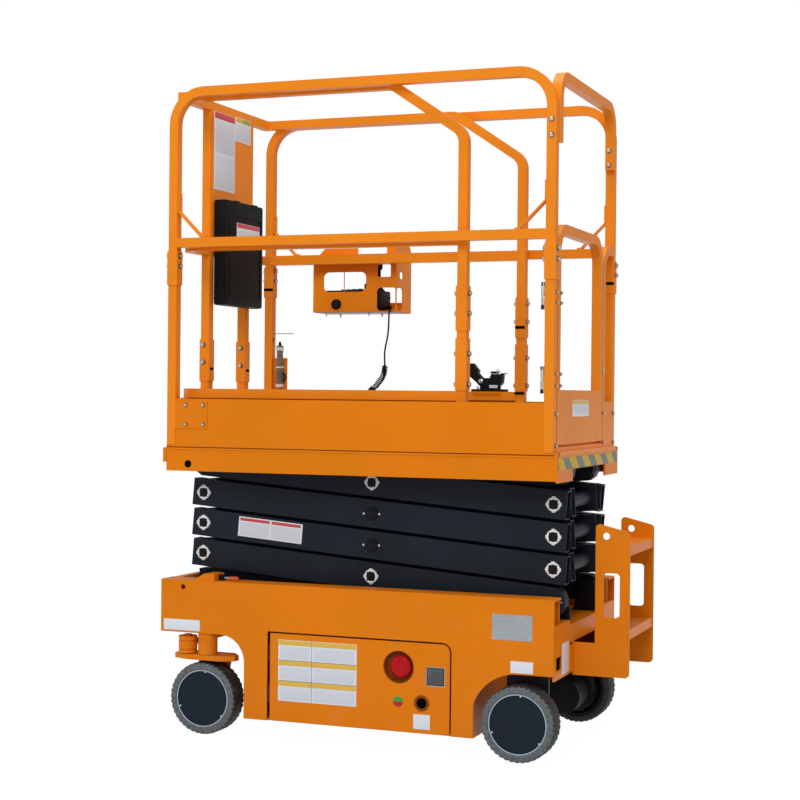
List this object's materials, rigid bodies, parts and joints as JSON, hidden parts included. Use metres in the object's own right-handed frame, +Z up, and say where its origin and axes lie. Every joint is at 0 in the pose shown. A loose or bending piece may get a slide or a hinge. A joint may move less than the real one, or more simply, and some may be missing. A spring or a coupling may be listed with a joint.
{
  "type": "scissor lift",
  "caption": "Electric slab scissor lift with a folding arm stack, sliding deck extension, railed platform, entry gate, steered front wheels, ladder and compartment doors.",
  "frame": {"origin": "on the floor, on the machine's centre plane, 71 mm behind the arms' centre pins", "axes": "+X forwards towards the steered wheels and the deck extension, +Y to the machine's left, +Z up"},
  "size_m": [1.491, 0.906, 2.071],
  "materials": {
    "chassis_paint": "semi-gloss orange paint, faintly textured",
    "rail_paint": "gloss orange powder coat",
    "arm_paint": "satin dark blue-grey paint",
    "dark_steel": "satin black painted steel",
    "bare_steel": "turned steel",
    "chrome_rod": "hard chrome plate",
    "tyre_rubber": "grey non-marking solid rubber",
    "hub_paint": "dark blue-black paint",
    "deck_plate": "pressed anti-slip plate",
    "black_plastic": "moulded black plastic",
    "grey_plastic": "moulded grey plastic",
    "red_plastic": "glossy red moulding",
    "cord_rubber": "black cable jacket"
  },
  "bodies": {
    "root": {"chassis_side_left": "chassis_paint", "chassis_side_right": "chassis_paint", "chassis_tray": "chassis_paint", "chassis_front_box": "chassis_paint", "chassis_rear_box": "chassis_paint", "battery_pack": "black_plastic", "drive_unit_left": "dark_steel", "drive_unit_right": "dark_steel", "ladder": "chassis_paint", "scissor_base": "chassis_paint"},
    "outer_1": {"arm_outer_1": "arm_paint"},
    "inner_1": {"arm_inner_1": "arm_paint"},
    "outer_2": {"arm_outer_2": "arm_paint"},
    "inner_2": {"arm_inner_2": "arm_paint"},
    "outer_3": {"arm_outer_3": "arm_paint"},
    "inner_3": {"arm_inner_3": "arm_paint"},
    "outer_4": {"arm_outer_4": "arm_paint"},
    "inner_4": {"arm_inner_4": "arm_paint"},
    "barrel": {"cylinder_barrel": "dark_steel"},
    "rod": {"cylinder_rod": "chrome_rod"},
    "platform": {"platform_frame": "chassis_paint", "platform_deck": "deck_plate", "toe_board_left": "chassis_paint", "toe_board_right": "chassis_paint", "main_rail_left": "rail_paint", "main_rail_right": "rail_paint", "rear_arch": "rail_paint", "entry_infill": "rail_paint", "control_box": "rail_paint", "hand_controller": "black_plastic", "cord_gland": "black_plastic", "control_cord": "cord_rubber", "control_cord_coil": "cord_rubber", "cord_socket": "black_plastic", "cable_connector": "grey_plastic"},
    "extension": {"extension_deck": "deck_plate", "extension_rail_left": "rail_paint", "extension_rail_right": "rail_paint", "extension_front": "rail_paint", "extension_toe_boards": "chassis_paint", "front_panel": "rail_paint", "document_case": "black_plastic", "deck_lock": "dark_steel"},
    "gate": {"entry_gate": "rail_paint"},
    "door_left": {"door_left": "chassis_paint", "stop_button": "red_plastic", "ground_display": "black_plastic", "charge_inlet": "black_plastic"},
    "door_right": {"door_right": "chassis_paint"},
    "knuckle_left": {"knuckle_left": "chassis_paint"},
    "knuckle_right": {"knuckle_right": "chassis_paint"},
    "tie_rod": {"tie_rod": "dark_steel"},
    "wheel_front_left": {"tyre_front_left": "tyre_rubber", "hub_front_left": "hub_paint"},
    "wheel_front_right": {"tyre_front_right": "tyre_rubber", "hub_front_right": "hub_paint"},
    "wheel_rear_left": {"tyre_rear_left": "tyre_rubber", "hub_rear_left": "hub_paint"},
    "wheel_rear_right": {"tyre_rear_right": "tyre_rubber", "hub_rear_right": "hub_paint"}
  },
  "joints": [
    {"name": "lift", "type": "hinge", "parent": "root", "child": "outer_1", "pos_m": [-0.524, 0, 0.467], "axis": [0, -1, 0], "range_deg": [0, 41]},
    {"name": "cross_1", "type": "hinge", "parent": "outer_1", "child": "inner_1", "pos_m": [0.071, 0, 0.5165], "axis": [0, 1, 0], "range_deg": [0, 82]},
    {"name": "rear_1", "type": "hinge", "parent": "inner_1", "child": "outer_2", "pos_m": [-0.524, 0, 0.566], "axis": [0, -1, 0], "range_deg": [0, 82]},
    {"name": "cross_2", "type": "hinge", "parent": "outer_2", "child": "inner_2", "pos_m": [0.071, 0, 0.6155], "axis": [0, 1, 0], "range_deg": [0, 82]},
    {"name": "rear_2", "type": "hinge", "parent": "inner_2", "child": "outer_3", "pos_m": [-0.524, 0, 0.665], "axis": [0, -1, 0], "range_deg": [0, 82]},
    {"name": "cross_3", "type": "hinge", "parent": "outer_3", "child": "inner_3", "pos_m": [0.071, 0, 0.7145], "axis": [0, 1, 0], "range_deg": [0, 82]},
    {"name": "rear_3", "type": "hinge", "parent": "inner_3", "child": "outer_4", "pos_m": [-0.524, 0, 0.764], "axis": [0, -1, 0], "range_deg": [0, 82]},
    {"name": "cross_4", "type": "hinge", "parent": "outer_4", "child": "inner_4", "pos_m": [0.071, 0, 0.8135], "axis": [0, 1, 0], "range_deg": [0, 82]},
    {"name": "platform_level", "type": "hinge", "parent": "inner_4", "child": "platform", "pos_m": [-0.524, 0, 0.863], "axis": [0, -1, 0], "range_deg": [0, 41]},
    {"name": "cylinder_swing", "type": "hinge", "parent": "inner_1", "child": "barrel", "pos_m": [0.51652, 0, 0.47944], "axis": [0, 1, 0], "range_deg": [0, 15.5]},
    {"name": "cylinder_rod", "type": "slide", "parent": "barrel", "child": "rod", "axis": [-0.9816, 0, 0.1907], "range_m": [0, 0.715]},
    {"name": "extension", "type": "slide", "parent": "platform", "child": "extension", "axis": [1, 0, 0], "range_m": [0, 0.6]},
    {"name": "gate", "type": "hinge", "parent": "platform", "child": "gate", "pos_m": [-0.519, 0.3435, 1.3], "axis": [0, 0, 1], "range_deg": [0, 70]},
    {"name": "door_left", "type": "hinge", "parent": "root", "child": "door_left", "pos_m": [0.3586, 0.369, 0.2], "axis": [0, 0, -1], "range_deg": [0, 100]},
    {"name": "door_right", "type": "hinge", "parent": "root", "child": "door_right", "pos_m": [0.3586, -0.369, 0.2], "axis": [0, 0, 1], "range_deg": [0, 100]},
    {"name": "steer_left", "type": "hinge", "parent": "root", "child": "knuckle_left", "pos_m": [0.591, 0.34, 0.27], "axis": [0, 0, 1], "range_deg": [-45, 45]},
    {"name": "steer_right", "type": "hinge", "parent": "root", "child": "knuckle_right", "pos_m": [0.591, -0.34, 0.27], "axis": [0, 0, 1], "range_deg": [-45, 45]},
    {"name": "tie_rod", "type": "hinge", "parent": "knuckle_left", "child": "tie_rod", "pos_m": [0.663, 0.34, 0.282], "axis": [0, 0, 1], "range_deg": [-45, 45]},
    {"name": "spin_front_left", "type": "hinge", "parent": "knuckle_left", "child": "wheel_front_left", "pos_m": [0.591, 0.34, 0.115], "axis": [0, 1, 0], "continuous": true},
    {"name": "spin_front_right", "type": "hinge", "parent": "knuckle_right", "child": "wheel_front_right", "pos_m": [0.591, -0.34, 0.115], "axis": [0, 1, 0], "continuous": true},
    {"name": "spin_rear_left", "type": "hinge", "parent": "root", "child": "wheel_rear_left", "pos_m": [-0.459, 0.34, 0.115], "axis": [0, 1, 0], "continuous": true},
    {"name": "spin_rear_right", "type": "hinge", "parent": "root", "child": "wheel_rear_right", "pos_m": [-0.459, -0.34, 0.115], "axis": [0, 1, 0], "continuous": true}
  ],
  "couplings": [
    {"joint": "cross_1", "follows": "lift", "ratio": 2},
    {"joint": "rear_1", "follows": "lift", "ratio": 2},
    {"joint": "cross_2", "follows": "lift", "ratio": 2},
    {"joint": "rear_2", "follows": "lift", "ratio": 2},
    {"joint": "cross_3", "follows": "lift", "ratio": 2},
    {"joint": "rear_3", "follows": "lift", "ratio": 2},
    {"joint": "cross_4", "follows": "lift", "ratio": 2},
    {"joint": "platform_level", "follows": "lift", "ratio": 1},
    {"joint": "cylinder_swing", "follows": "lift", "ratio": 0.3745},
    {"joint": "cylinder_rod", "follows": "lift", "m_per_rad": 0.9968},
    {"joint": "steer_right", "follows": "steer_left", "ratio": 1},
    {"joint": "tie_rod", "follows": "steer_left", "ratio": -1}
  ]
}
